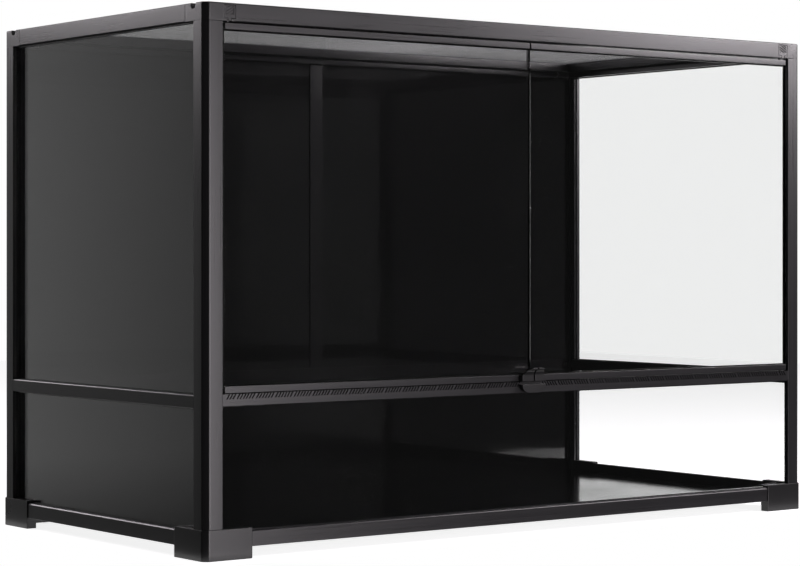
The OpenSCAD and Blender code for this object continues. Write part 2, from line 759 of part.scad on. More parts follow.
// Slanted ribs across the grip, drawn flat around its middle
module grip_ribs() intersection() {
    square([grip_w, grip_h], center = true);
    rotate(rib_lean) for (y = [-grip_w : rib_pitch : grip_w])
        translate([-grip_w, y]) square([2 * grip_w, rib_w]);
}

module lid_release(side) color(black) at_corner(side, FRONT) {
    low = tab_z + tab_gap;
    high = tab_z + tab_h - tab_gap;
    grip_z = high - tab_gap - grip_h / 2;
    difference() {
        union() {
            block([tab_u + tab_gap, tab_in, low], [corner_w - tab_gap, tab_back, high]);
            block([tab_mid - neck_w / 2, tab_in, top_z + tab_gap], [tab_mid + neck_w / 2, tab_back, low + cut]);
        }
        block([tab_mid - grip_w / 2, -cut, grip_z - grip_h / 2],
            [tab_mid + grip_w / 2, tab_in + grip_in, grip_z + grip_h / 2]);
    }
    translate([tab_mid, tab_in, grip_z]) along_y(grip_in) grip_ribs();
    stub_axis(stub_r, neck_w + 2 * stub_l);
}

foot(LEFT, FRONT);  // foot_front_left
foot(RIGHT, FRONT);  // foot_front_right
foot(LEFT, REAR);  // foot_rear_left
foot(RIGHT, REAR);  // foot_rear_right
foot_pads();
foot_screws();
bottom_rail_front();
bottom_rail_rear();
bottom_rail_side(LEFT);  // bottom_rail_left
bottom_rail_side(RIGHT);  // bottom_rail_right
post(LEFT, FRONT);  // post_front_left
post(RIGHT, FRONT);  // post_front_right
post(LEFT, REAR);  // post_rear_left
post(RIGHT, REAR);  // post_rear_right
top_corner(LEFT, FRONT);  // top_corner_front_left
top_corner(RIGHT, FRONT);  // top_corner_front_right
top_corner(LEFT, REAR);  // top_corner_rear_left
top_corner(RIGHT, REAR);  // top_corner_rear_right
top_rail_front();
top_rail_rear();
top_rail_side(LEFT);  // top_rail_left
top_rail_side(RIGHT);  // top_rail_right
mid_rail_side(LEFT);  // mid_rail_left
mid_rail_side(RIGHT);  // mid_rail_right
mid_rail_rear();
vent_rail();
rear_mullion();
floor_panel();
front_pane();  // glass_front_lower
upper_pane(LEFT);  // glass_left_upper
lower_pane(LEFT);  // glass_left_lower
upper_pane(RIGHT);  // glass_right_upper
lower_pane(RIGHT);  // glass_right_lower
glass_gaskets();
back_panel_upper(LEFT);  // back_panel_left
back_panel_upper(RIGHT);  // back_panel_right
back_panel_lower();
hinge_bushes();
latch_keeper();
latch_magnets();
door_glass(LEFT);  // door_glass_left
door_top_strip(LEFT);  // door_top_strip_left
door_low_strip(LEFT);  // door_low_strip_left
door_handle(LEFT);  // door_handle_left
door_strike(LEFT);  // door_strike_left
hinge_pins(LEFT);  // hinge_pins_left
door_glass(RIGHT);  // door_glass_right
door_top_strip(RIGHT);  // door_top_strip_right
door_low_strip(RIGHT);  // door_low_strip_right
door_handle(RIGHT);  // door_handle_right
door_strike(RIGHT);  // door_strike_right
hinge_pins(RIGHT);  // hinge_pins_right
lid_frame();
mesh_screen();
mesh_clamp_strip();
lid_release(LEFT);  // lid_release_left
lid_release(RIGHT);  // lid_release_right
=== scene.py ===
"""Reptile terrarium: the finish of every piece, the wire mesh, the screws and the studio."""
import math

import bmesh
import bpy
from bpy.props import FloatProperty, FloatVectorProperty, IntProperty, PointerProperty
from bpy.types import Operator, Panel, PropertyGroup
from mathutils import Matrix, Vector


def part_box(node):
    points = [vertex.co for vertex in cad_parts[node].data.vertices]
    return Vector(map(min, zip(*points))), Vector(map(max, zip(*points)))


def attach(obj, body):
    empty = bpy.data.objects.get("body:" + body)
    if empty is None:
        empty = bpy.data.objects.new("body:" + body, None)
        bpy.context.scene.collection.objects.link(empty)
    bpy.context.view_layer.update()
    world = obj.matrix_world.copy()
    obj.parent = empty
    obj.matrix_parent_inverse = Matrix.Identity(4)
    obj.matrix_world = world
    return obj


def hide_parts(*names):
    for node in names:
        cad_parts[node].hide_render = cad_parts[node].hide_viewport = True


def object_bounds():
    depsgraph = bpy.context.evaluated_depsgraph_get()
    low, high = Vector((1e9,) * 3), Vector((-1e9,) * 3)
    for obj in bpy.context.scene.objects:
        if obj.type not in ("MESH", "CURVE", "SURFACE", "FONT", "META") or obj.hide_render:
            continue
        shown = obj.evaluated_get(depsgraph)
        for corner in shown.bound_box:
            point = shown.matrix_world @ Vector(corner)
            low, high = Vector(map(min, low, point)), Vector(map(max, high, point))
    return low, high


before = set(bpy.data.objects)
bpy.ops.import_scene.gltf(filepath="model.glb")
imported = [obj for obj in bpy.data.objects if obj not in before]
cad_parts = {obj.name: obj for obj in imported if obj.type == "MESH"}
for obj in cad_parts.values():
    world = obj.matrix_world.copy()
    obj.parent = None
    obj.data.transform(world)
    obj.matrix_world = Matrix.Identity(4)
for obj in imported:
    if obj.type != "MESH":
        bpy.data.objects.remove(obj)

CAD_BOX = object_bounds()

bl_info = {
    "name": "Reptile terrarium",
    "version": (1, 0, 0),
    "blender": (4, 5, 0),
    "location": "3D View > Sidebar > Terrarium",
    "description": "Finishes a front-opening reptile terrarium in a pale studio",
    "category": "Object",
}

X = (1.0, 0.0, 0.0)
Y = (0.0, 1.0, 0.0)
WHITE = (1.0, 1.0, 1.0)

# Scale of a drawn bar's die lines in each direction, small along its length
ALONG_WIDTH = (0.01, 1.0, 1.0)
ALONG_DEPTH = (1.0, 0.01, 1.0)
ALONG_HEIGHT = (1.0, 1.0, 0.01)
ALONG_BOTH = (0.05, 0.05, 1.0)

# Lowest and highest roughness of the finishes
SATIN = (0.26, 0.32)
SMOOTH_SATIN = (0.14, 0.2)
MOULDED = (0.26, 0.33)
RUBBER = (0.55, 0.75)
SLEEK_RUBBER = (0.1, 0.16)
GLOSS_BACK = (0.04, 0.12)
GLOSS_FLOOR = (0.1, 0.16)
PLATING = (0.2, 0.34)
NYLON = (0.35, 0.5)
WIRE = (0.5, 0.64)

# Index of refraction
BLACK_IOR = 1.5
GLASS_IOR = 1.45
RUBBER_IOR = 1.48
NYLON_IOR = 1.53

# Narrow gaps: how far their painted shade reaches on each finish, and how it looks
BAR_GAP = 0.003
BLOCK_GAP = 0.0012
STEEL_GAP = 0.004
TAB_GAP = 0.004
GAP_SHUT = 0.35
GAP_OPEN = 0.85
TAB_OPEN = 0.97
# Near-black colour painted into gaps and recesses as shade
GAP_PAINTED_SHADE = (0.0004, 0.0004, 0.0004)
GAP_ROUGHNESS = 0.95

# Roughness of the panes' ground edges, and how strongly marks and dust show
GROUND_EDGE = 0.1
GLASS_MARKS = 0.012
PANEL_DUST = 0.12
WIRE_DUST = 0.8

# Soft edges
WELD_REACH = 0.000002
SHARP_ANGLE = math.radians(35)
EDGE_SEGMENTS = 2

# Foot screws
HEAD_RADIUS = 0.0032
HEAD_HEIGHT = 0.0022
SHANK_RADIUS = 0.0017
SCREW_SIDES = 24

# Backdrop: the shares of its white, the cosines and heights between which it fades, and the
# dark room around it
SIDE_WHITE = 0.39
MIDDLE_WHITE = 0.61
MIDDLE_EDGE = (0.75, 0.92)
HEIGHT_FADES = ((0.12, 0.18), (-0.085, -0.13))
DARK_ROOM = (0.04, 0.04, 0.04)

# Floor beyond the terrarium to the right and to the rear
FLOOR_RIGHT = 3.0
FLOOR_REAR = 4.0

# Name, place, width and height of each softbox, and the setting that holds its power
SOFTBOXES = (
    ("front_softbox", (0.32, -2.6, 0.15), 1.2, 1.3, "front_box"),
    ("right_softbox", (1.86, -1.52, 1.33), 0.8, 1.1, "right_box"),
    ("left_softbox", (-1.4, 1.65, 1.37), 0.5, 1.2, "left_box"),
    ("rear_softbox", (-0.7, 2.05, 1.12), 0.5, 0.45, "rear_box"),
)


# --- Settings ---

def colour_property(name, description, default):
    return FloatVectorProperty(name=name, description=description, default=default,
                               subtype="COLOR", min=0.0, max=1.0)


def length_property(name, description, default):
    return FloatProperty(name=name, description=description, default=default, unit="LENGTH",
                         min=0.0, precision=5)


def power_property(name, description, default):
    return FloatProperty(name=name, description=description, default=default, unit="POWER",
                         min=0.0)


class TerrariumSizes(PropertyGroup):
    """Sizes of what is added to the construction."""

    bar_round: length_property(
        "Bar rounding", "Rounding of the edges of posts and rails", 0.0004)
    block_round: length_property(
        "Block rounding", "Rounding of the edges of corners and feet", 0.0005)
    small_round: length_property(
        "Small rounding", "Rounding of handles, tabs and strips", 0.00025)
    glass_round: length_property(
        "Glass edge", "Ground edge of the panes", 0.00015)
    mesh_pitch: length_property(
        "Mesh pitch", "Spacing of the wires of the mesh", 0.0026)
    wire_radius: length_property(
        "Wire radius", "Radius of the wires of the mesh", 0.00011)
    wire_sides: IntProperty(
        name="Wire sides", description="Sides of each wire", default=6, min=4, max=16)
    screw_recess: length_property(
        "Screw recess", "Span of the cross in a screw's head", 0.0034)
    recess_depth: length_property(
        "Recess depth", "Depth of the cross in a screw's head", 0.0012)
    thread_pitch: length_property(
        "Thread pitch", "Spacing of the threads of a foot screw", 0.0014)
    thread_depth: length_property(
        "Thread depth", "Depth of the threads of a foot screw", 0.0003)


class TerrariumColours(PropertyGroup):
    """Colours of the finishes."""

    bar: colour_property(
        "Bars", "Satin black of the posts and rails", (0.008, 0.0077, 0.0084))
    bar_light: colour_property(
        "Bars, lighter", "Lighter streaks of that black", (0.012, 0.0114, 0.0127))
    moulding: colour_property(
        "Mouldings", "Black of the feet, corners and handles", (0.008, 0.0078, 0.0083))
    moulding_worn: colour_property(
        "Mouldings, worn", "Their worn edges", (0.03, 0.0293, 0.0307))
    glass: colour_property(
        "Glass", "Tint of the panes", (0.997, 1.0, 0.999))
    # The panes' edge tint is partly their real green and partly painted shade, near black
    glass_edge: colour_property(
        "Glass edge", "Tint at the panes' edges", (0.0003, 0.0006, 0.00055))
    panel: colour_property(
        "Panels", "Gloss black of the back and floor panels", (0.006, 0.006, 0.0063))
    panel_dust: colour_property(
        "Panel dust", "Fine dust on the panels", (0.03, 0.03, 0.03))
    rubber: colour_property(
        "Rubber", "Black of the gaskets and pads", (0.008, 0.008, 0.008))
    rubber_pale: colour_property(
        "Rubber, paler", "Paler patches of the rubber", (0.02, 0.02, 0.021))
    steel: colour_property(
        "Steel", "Zinc plating of pins, screws and strikes", (0.55, 0.56, 0.58))
    steel_dull: colour_property(
        "Steel, dull", "Dull patches of the plating", (0.38, 0.38, 0.37))
    nylon: colour_property(
        "Nylon", "Hinge bushes", (0.62, 0.60, 0.54))
    nylon_dark: colour_property(
        "Nylon, darker", "Darker patches of the bushes", (0.45, 0.43, 0.38))
    wire: colour_property(
        "Mesh wire", "Steel wire of the mesh", (0.2, 0.2, 0.204))
    wire_dull: colour_property(
        "Mesh wire, dull", "Dull patches of the wire", (0.14, 0.14, 0.143))
    floor: colour_property(
        "Floor", "Pale studio floor", (0.82, 0.82, 0.82))


class TerrariumStudio(PropertyGroup):
    """Camera and light."""

    camera_place: FloatVectorProperty(
        name="Camera place", description="Where the camera stands", subtype="TRANSLATION",
        unit="LENGTH", default=(-1.857341, -2.436224, 0.334898))
    camera_turn: FloatProperty(
        name="Camera turn", description="Turn of the camera to the right of the depth axis",
        default=math.radians(36.9126), subtype="ANGLE")
    lens: FloatProperty(
        name="Lens", description="Focal length in millimetres", default=109.35, unit="CAMERA")
    shift: FloatProperty(
        name="Shift", description="Vertical shift that keeps the posts upright", default=-0.0397)
    fill: FloatProperty(
        name="Fill", description="Level of the light from all round", default=0.08)
    front_box: power_property(
        "Front box", "Power of the tall front softbox", 36.0)
    right_box: power_property(
        "Right box", "Power of the high right softbox", 60.0)
    left_box: power_property(
        "Left box", "Power of the rear left softbox", 14.0)
    rear_box: power_property(
        "Rear box", "Power of the small rear softbox", 6.0)
    box_tint: colour_property(
        "Softbox tint", "Faint violet of the softboxes", (1.0, 0.94, 0.985))
    backdrop_edge: FloatVectorProperty(
        name="Backdrop edge", size=2, default=(0.282, 0.42),
        description="Cosines between which the white backdrop fades to dark")
    floor_reach: length_property(
        "Floor reach", "How far the floor runs to the front and left", 0.02)
    floor_glow: FloatProperty(
        name="Floor glow", description="Lift that brings the floor to white", default=0.84)


# --- Shader groups that several finishes share ---

def new_group(name, inputs, outputs):
    """An empty shader group, with its inputs given as (name, kind, default)."""
    tree = bpy.data.node_groups.new(name, "ShaderNodeTree")
    for title, kind, default in inputs:
        socket = tree.interface.new_socket(title, in_out="INPUT", socket_type="NodeSocket" + kind)
        socket.default_value = default
    for title, kind in outputs:
        tree.interface.new_socket(title, in_out="OUTPUT", socket_type="NodeSocket" + kind)
    entry = tree.nodes.new("NodeGroupInput")
    leave = tree.nodes.new("NodeGroupOutput")
    return tree, entry.outputs, leave.inputs


def join(tree, source, target):
    tree.links.new(source, target)


def feed(tree, value, target):
    """Gives a socket a plain number, or joins another socket to it."""
    if isinstance(value, float):
        target.default_value = value
    else:
        join(tree, value, target)


def object_place(tree):
    return tree.nodes.new("ShaderNodeTexCoord").outputs["Object"]


def vector_maths(tree, operation, first):
    """A vector node with its first input joined. Returns the node."""
    node = tree.nodes.new("ShaderNodeVectorMath")
    node.operation = operation
    join(tree, first, node.inputs[0])
    return node


def noise(tree, scale, detail, rough=0.55, vector=None):
    """A noise texture over the object's own coordinates, or over a given vector."""
    node = tree.nodes.new("ShaderNodeTexNoise")
    node.inputs["Detail"].default_value = detail
    node.inputs["Roughness"].default_value = rough
    feed(tree, scale, node.inputs["Scale"])
    if vector is None:
        vector = object_place(tree)
    join(tree, vector, node.inputs["Vector"])
    return node.outputs["Fac"]


def spread(tree, value, low, high, from_low=0.3, from_high=0.7):
    """Maps a value from one range to another. Each end is a number or a socket."""
    node = tree.nodes.new("ShaderNodeMapRange")
    join(tree, value, node.inputs["Value"])
    feed(tree, from_low, node.inputs["From Min"])
    feed(tree, from_high, node.inputs["From Max"])
    feed(tree, low, node.inputs["To Min"])
    feed(tree, high, node.inputs["To Max"])
    return node.outputs["Result"]


def maths(tree, operation, first, second=None, clamp=False):
    node = tree.nodes.new("ShaderNodeMath")
    node.operation = operation
    node.use_clamp = clamp
    feed(tree, first, node.inputs[0])
    if second is not None:
        feed(tree, second, node.inputs[1])
    return node.outputs[0]


def bump(tree, height, depth):
    node = tree.nodes.new("ShaderNodeBump")
    node.inputs["Strength"].default_value = 1.0
    join(tree, height, node.inputs["Height"])
    join(tree, depth, node.inputs["Distance"])
    return node.outputs["Normal"]


def build_grain():
    """Fine grain of a moulded or rubber surface."""
    tree, given, out = new_group(
        "Moulding grain",
        [("Scale", "Float", 900.0), ("Depth", "Float", 0.00002), ("Rough Low", "Float", 0.35),
         ("Rough High", "Float", 0.5)],
        [("Roughness", "Float"), ("Normal", "Vector"), ("Patches", "Float")])
    fine = noise(tree, given["Scale"], detail=2.0)
    patches = noise(tree, scale=14.0, detail=4.0)
    rough = spread(tree, patches, given["Rough Low"], given["Rough High"])
    join(tree, rough, out["Roughness"])
    join(tree, bump(tree, fine, given["Depth"]), out["Normal"])
    join(tree, spread(tree, patches, 0.0, 1.0), out["Patches"])
    return tree


def build_streaks():
    """Long faint die lines of a drawn bar, stretched along its length."""
    tree, given, out = new_group(
        "Drawn streaks",
        [("Squeeze", "Vector", (1.0, 1.0, 1.0)), ("Depth", "Float", 0.00001),
         ("Rough Low", "Float", 0.28), ("Rough High", "Float", 0.38)],
        [("Streaks", "Float"), ("Roughness", "Float"), ("Normal", "Vector")])
    squeezed = vector_maths(tree, "MULTIPLY", object_place(tree))
    join(tree, given["Squeeze"], squeezed.inputs[1])
    lines = noise(tree, scale=600.0, detail=3.0, vector=squeezed.outputs[0])
    cloud = noise(tree, scale=5.0, detail=3.0)
    lines_share = maths(tree, "MULTIPLY", lines, 0.6)
    cloud_share = maths(tree, "MULTIPLY", cloud, 0.4)
    both = maths(tree, "ADD", lines_share, cloud_share)
    join(tree, spread(tree, both, 0.0, 1.0), out["Streaks"])
    rough = spread(tree, both, given["Rough Low"], given["Rough High"])
    join(tree, rough, out["Roughness"])
    join(tree, bump(tree, lines, given["Depth"]), out["Normal"])
    return tree


def build_worn_edges():
    """A mask along the outer edges, broken up by noise."""
    tree, given, out = new_group(
        "Worn edges", [("Width", "Float", 0.0006), ("Amount", "Float", 0.6)],
        [("Mask", "Float")])
    rounded = tree.nodes.new("ShaderNodeBevel")
    rounded.samples = 4
    join(tree, given["Width"], rounded.inputs["Radius"])
    turn = vector_maths(tree, "DOT_PRODUCT", rounded.outputs["Normal"])
    join(tree, tree.nodes.new("ShaderNodeNewGeometry").outputs["Normal"], turn.inputs[1])
    edge = spread(tree, turn.outputs["Value"], 1.0, 0.0, from_low=0.82, from_high=0.995)
    patches = noise(tree, scale=160.0, detail=4.0)
    broken = spread(tree, patches, 0.1, 1.0, from_low=0.35, from_high=0.65)
    mask = maths(tree, "MULTIPLY", edge, broken, clamp=True)
    join(tree, maths(tree, "MULTIPLY", mask, given["Amount"], clamp=True), out["Mask"])
    return tree


def build_smudges():
    """Soft marks left by cloths and fingers, and fine dust between them."""
    tree, given, out = new_group(
        "Smudges", [("Scale", "Float", 7.0), ("Amount", "Float", 0.2)], [("Mask", "Float")])
    wiped = noise(tree, given["Scale"], detail=5.0, rough=0.6)
    soft = spread(tree, wiped, 0.0, 1.0, from_low=0.45, from_high=0.75)
    dust = noise(tree, scale=420.0, detail=1.0)
    specks = spread(tree, dust, 0.0, 1.0, from_low=0.66, from_high=0.8)
    both = maths(tree, "ADD", soft, maths(tree, "MULTIPLY", specks, 0.5), clamp=True)
    join(tree, maths(tree, "MULTIPLY", both, given["Amount"], clamp=True), out["Mask"])
    return tree


def build_pane_edge():
    """A mask on the faces of a pane that don't look along its thickness."""
    tree, given, out = new_group("Pane edge", [("Axis", "Vector", Y)], [("Mask", "Float")])
    turned = tree.nodes.new("ShaderNodeVectorTransform")
    turned.vector_type = "NORMAL"
    turned.convert_from = "WORLD"
    turned.convert_to = "OBJECT"
    face = tree.nodes.new("ShaderNodeNewGeometry").outputs["True Normal"]
    join(tree, face, turned.inputs[0])
    along = vector_maths(tree, "DOT_PRODUCT", turned.outputs[0])
    join(tree, given["Axis"], along.inputs[1])
    flat = maths(tree, "ABSOLUTE", along.outputs["Value"])
    join(tree, spread(tree, flat, 1.0, 0.0, from_low=0.5, from_high=0.9), out["Mask"])
    return tree


def build_painted_gap_shade():
    """A mask of painted shade in narrow gaps, seams and recesses, where ambient occlusion finds
    them.
    """
    tree, given, out = new_group(
        "Crevices", [("Reach", "Float", 0.002), ("Open", "Float", GAP_OPEN)],
        [("Mask", "Float")])
    shade = tree.nodes.new("ShaderNodeAmbientOcclusion")
    shade.samples = 6
    join(tree, given["Reach"], shade.inputs["Distance"])
    open_sky = shade.outputs["AO"]
    mask = spread(tree, open_sky, 1.0, 0.0, from_low=GAP_SHUT, from_high=given["Open"])
    join(tree, mask, out["Mask"])
    return tree


GROUPS = {"grain": build_grain, "painted_shade_in_gaps": build_painted_gap_shade, "streaks": build_streaks,
          "edges": build_worn_edges, "smudges": build_smudges, "pane": build_pane_edge}
built_groups = {}


def placed_group(tree, kind, **values):
    """One of the shared groups in a material, with its own values."""
    if kind not in built_groups:
        built_groups[kind] = GROUPS[kind]()
    node = tree.nodes.new("ShaderNodeGroup")
    node.node_tree = built_groups[kind]
    for title, value in values.items():
        node.inputs[title.replace("_", " ")].default_value = value
    return node.outputs


# --- Finishes ---

def new_material(name, **sockets):
    """A material with one Principled shader and plain values on its sockets."""
    material = bpy.data.materials.new(name)
    material.use_nodes = True
    tree = material.node_tree
    shader = tree.nodes["Principled BSDF"].inputs
    for title, value in sockets.items():
        shader[title.replace("_", " ")].default_value = value
    return material, tree, shader


def mixed(tree, mask, first, second):
    """One colour over another by a mask."""
    node = tree.nodes.new("ShaderNodeMix")
    node.data_type = "RGBA"
    join(tree, mask, node.inputs["Factor"])
    for socket, colour in ((node.inputs["A"], first), (node.inputs["B"], second)):
        if isinstance(colour, bpy.types.NodeSocket):
            join(tree, colour, socket)
        else:
            socket.default_value = (*colour, 1.0)
    return node.outputs["Result"]


def darkened(tree, shader, reach, colour, roughness, still_open=GAP_OPEN):
    """Feeds a base colour and a roughness, with painted shade in gaps and recesses: near black
    and dull there.
    """
    painted_shade_in_gaps = placed_group(tree, "painted_shade_in_gaps", Reach=reach, Open=still_open)
    join(tree, mixed(tree, painted_shade_in_gaps["Mask"], colour, GAP_PAINTED_SHADE), shader["Base Color"])
    dull = maths(tree, "MULTIPLY", painted_shade_in_gaps["Mask"], GAP_ROUGHNESS)
    join(tree, maths(tree, "MAXIMUM", roughness, dull), shader["Roughness"])


def grain_group(tree, scale, depth, rough):
    return placed_group(tree, "grain", Scale=scale, Depth=depth, Rough_Low=rough[0],
                        Rough_High=rough[1])


def satin_bar(title, squeeze, rough=SATIN):
    """Satin black of a drawn bar whose die lines run along its length."""
    colours = bpy.context.scene.terrarium_colours
    material, tree, shader = new_material("Satin black " + title, IOR=BLACK_IOR)
    streaks = placed_group(tree, "streaks", Squeeze=squeeze, Rough_Low=rough[0],
                           Rough_High=rough[1])
    colour = mixed(tree, streaks["Streaks"], colours.bar, colours.bar_light)
    # Painted shade: near black and dull in the bar's gaps, seams and slots
    darkened(tree, shader, BAR_GAP, colour, streaks["Roughness"])
    join(tree, streaks["Normal"], shader["Normal"])
    return material


def moulded_black(name, reach=BLOCK_GAP, still_open=GAP_OPEN):
    """Black plastic, with painted shade darkening its recesses to a given reach."""
    colours = bpy.context.scene.terrarium_colours
    material, tree, shader = new_material(name, IOR=BLACK_IOR)
    grain = grain_group(tree, scale=1100.0, depth=0.000012, rough=MOULDED)
    edges = placed_group(tree, "edges", Width=0.0006, Amount=0.35)
    colour = mixed(tree, edges["Mask"], colours.moulding, colours.moulding_worn)
    # Painted shade in the recesses and gaps
    darkened(tree, shader, reach, colour, grain["Roughness"], still_open)
    join(tree, grain["Normal"], shader["Normal"])
    return material


def clear_glass(title, axis):
    """Clear glass of a pane, with edges tinted green and darkened near black as painted shade."""
    colours = bpy.context.scene.terrarium_colours
    material, tree, shader = new_material("Clear glass " + title, IOR=GLASS_IOR,
                                          Transmission_Weight=1.0, Metallic=0.0)
    edge = placed_group(tree, "pane", Axis=axis)
    smudges = placed_group(tree, "smudges", Scale=5.0, Amount=GLASS_MARKS)
    tint = mixed(tree, edge["Mask"], colours.glass, colours.glass_edge)
    join(tree, tint, shader["Base Color"])
    ground = maths(tree, "MULTIPLY", edge["Mask"], GROUND_EDGE)
    join(tree, maths(tree, "MAXIMUM", smudges["Mask"], ground), shader["Roughness"])
    return material


def gloss_panel(name, rough):
    """Gloss black of a back or floor panel, with fine dust."""
    colours = bpy.context.scene.terrarium_colours
    material, tree, shader = new_material(name, IOR=BLACK_IOR)
    smudges = placed_group(tree, "smudges", Scale=6.0, Amount=PANEL_DUST)
    tint = mixed(tree, smudges["Mask"], colours.panel, colours.panel_dust)
    join(tree, tint, shader["Base Color"])
    dull = spread(tree, smudges["Mask"], *rough, from_low=0.0, from_high=PANEL_DUST)
    join(tree, dull, shader["Roughness"])
    return material


def black_rubber(name, scale, rough=RUBBER):
    """Black rubber of the gaskets, the pads and the clamp strip."""
    colours = bpy.context.scene.terrarium_colours
    material, tree, shader = new_material(name, IOR=RUBBER_IOR)
    grain = grain_group(tree, scale, depth=0.00003, rough=rough)
    tint = mixed(tree, grain["Patches"], colours.rubber, colours.rubber_pale)
    join(tree, tint, shader["Base Color"])
    join(tree, grain["Roughness"], shader["Roughness"])
    join(tree, grain["Normal"], shader["Normal"])
    return material


def plated_steel():
    """Zinc-plated steel of screws, pins, strikes and catch magnets."""
    colours = bpy.context.scene.terrarium_colours
    material, tree, shader = new_material("Plated steel", Metallic=1.0)
    grain = grain_group(tree, scale=1600.0, depth=0.000006, rough=PLATING)
    colour = mixed(tree, grain["Patches"], colours.steel, colours.steel_dull)
    # Painted shade: near black and dull in the gaps around pins, strikes and screws
    darkened(tree, shader, STEEL_GAP, colour, grain["Roughness"])
    join(tree, grain["Normal"], shader["Normal"])
    return material


def natural_nylon():
    """Off-white nylon of the hinge bushes."""
    colours = bpy.context.scene.terrarium_colours
    material, tree, shader = new_material("Natural nylon", IOR=NYLON_IOR, Subsurface_Weight=0.15)
    grain = grain_group(tree, scale=1400.0, depth=0.00001, rough=NYLON)
    tint = mixed(tree, grain["Patches"], colours.nylon, colours.nylon_dark)
    join(tree, tint, shader["Base Color"])
    join(tree, grain["Roughness"], shader["Roughness"])
    return material


def mesh_wire():
    """Dull steel wire of the lid's mesh."""
    colours = bpy.context.scene.terrarium_colours
    material, tree, shader = new_material("Mesh wire", Metallic=1.0)
    smudges = placed_group(tree, "smudges", Scale=25.0, Amount=WIRE_DUST)
    tint = mixed(tree, smudges["Mask"], colours.wire, colours.wire_dull)
    join(tree, tint, shader["Base Color"])
    dull = spread(tree, smudges["Mask"], *WIRE, from_low=0.0, from_high=WIRE_DUST)
    join(tree, dull, shader["Roughness"])
    return material


# --- Dressing the construction ---

def dress(names, material, rounding=0.0):
    """Gives CAD nodes their finish, and soft edges where a rounding is given."""
    for name in names:
        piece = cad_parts[name]
        piece.data.materials.clear()
        piece.data.materials.append(material)
        if rounding:
            soften(piece, rounding)


def soften(piece, rounding):
    """Rounds a piece's sharp edges."""
    weld = piece.modifiers.new("Joined corners", "WELD")
    weld.merge_threshold = WELD_REACH
    bevel = piece.modifiers.new("Soft edges", "BEVEL")
    bevel.width = rounding
    bevel.segments = EDGE_SEGMENTS
    bevel.limit_method = "ANGLE"
    bevel.angle_limit = SHARP_ANGLE
    bevel.use_clamp_overlap = False
    bevel.miter_outer = "MITER_ARC"
    normals = piece.modifiers.new("Face normals", "WEIGHTED_NORMAL")
    normals.keep_sharp = False


def both_sides(*stems):
    """Names of the left and the right piece of each stem."""
    return ["%s_%s" % (stem, side) for stem in stems for side in ("left", "right")]


def finished(piece, body, slot, material, *nodes):
    """Gives a piece that stands for CAD nodes its finish, hangs it on its body and hides those
    nodes.
    """
    piece.data.materials.append(material)
    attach(piece, body)
    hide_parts(*nodes)


def mesh_object(name, build):
    """A mesh object from a function that fills a bmesh."""
    form = bmesh.new()
    build(form)
    bmesh.ops.recalc_face_normals(form, faces=form.faces)
    mesh = bpy.data.meshes.new(name)
    form.to_mesh(mesh)
    form.free()
    piece = bpy.data.objects.new(name, mesh)
    bpy.context.scene.collection.objects.link(piece)
    return piece


def box_corners(box):
    """The low and the high corner of a box, as vectors."""
    return [Vector(corner) for corner in box]


def ring(form, centre, radius, sides, across, up):
    """A ring of vertices about a centre, in the plane of two directions."""
    turns = [2 * math.pi * (i + 0.5) / sides for i in range(sides)]
    return [form.verts.new(centre + radius * (math.cos(t) * across + math.sin(t) * up))
            for t in turns]


def wall(form, first, last, smooth=True):
    """Faces between two rings of as many vertices."""
    for i in range(len(first)):
        j = (i + 1) % len(first)
        form.faces.new((first[i], first[j], last[j], last[i])).smooth = smooth


def tube(form, start, end, radius, sides):
    """A closed straight wire."""
    along = (end - start).normalized()
    across = along.orthogonal().normalized()
    up = along.cross(across)
    first = ring(form, start, radius, sides, across, up)
    last = ring(form, end, radius, sides, across, up)
    wall(form, first, last)
    form.faces.new(first)
    form.faces.new(last)


def lathe(form, profile, centre, sides):
    """Turns (radius, height) pairs about the upright axis through a centre. Returns the rings."""
    rings = [ring(form, centre + Vector((0, 0, z)), r, sides, Vector(X), Vector(Y))
             for r, z in profile]
    for low, high in zip(rings, rings[1:]):
        wall(form, low, high)
    return rings


def cross(form, centre, span, width):
    """The twelve corners of an upright cross, seen from below."""
    a, b = span / 2, width / 2
    outline = [(a, -b), (a, b), (b, b), (b, a), (-b, a), (-b, b), (-a, b), (-a, -b), (-b, -b),
               (-b, -a), (b, -a), (b, -b)]
    return [form.verts.new(centre + Vector((x, y, 0))) for x, y in outline]


def screw(form, place, length, sizes):
    """A domed foot screw, head down, with a thread and a cross recess."""
    profile = [(HEAD_RADIUS * 0.8, 0.0), (HEAD_RADIUS * 0.95, HEAD_HEIGHT * 0.15),
               (HEAD_RADIUS, HEAD_HEIGHT * 0.4), (HEAD_RADIUS, HEAD_HEIGHT),
               (SHANK_RADIUS, HEAD_HEIGHT)]
    for i in range(int((length - HEAD_HEIGHT) / sizes.thread_pitch)):
        z = HEAD_HEIGHT + (i + 0.5) * sizes.thread_pitch
        profile += [(SHANK_RADIUS, z - sizes.thread_pitch * 0.3),
                    (SHANK_RADIUS - sizes.thread_depth, z + sizes.thread_pitch * 0.2)]
    profile.append((SHANK_RADIUS * 0.5, length))
    rings = lathe(form, profile, place, SCREW_SIDES)
    form.faces.new(rings[-1])
    span = sizes.screw_recess
    mouth = cross(form, place, span, span * 0.28)
    well = cross(form, place + Vector((0, 0, sizes.recess_depth)), span * 0.8, span * 0.2)
    wall(form, mouth, well, smooth=False)
    form.faces.new(well)
    edges = []
    for loop in (rings[0], mouth):
        for ends in zip(loop, loop[1:] + loop[:1]):
            edges.append(form.edges.get(ends) or form.edges.new(ends))
    bmesh.ops.triangle_fill(form, edges=edges, use_beauty=True)


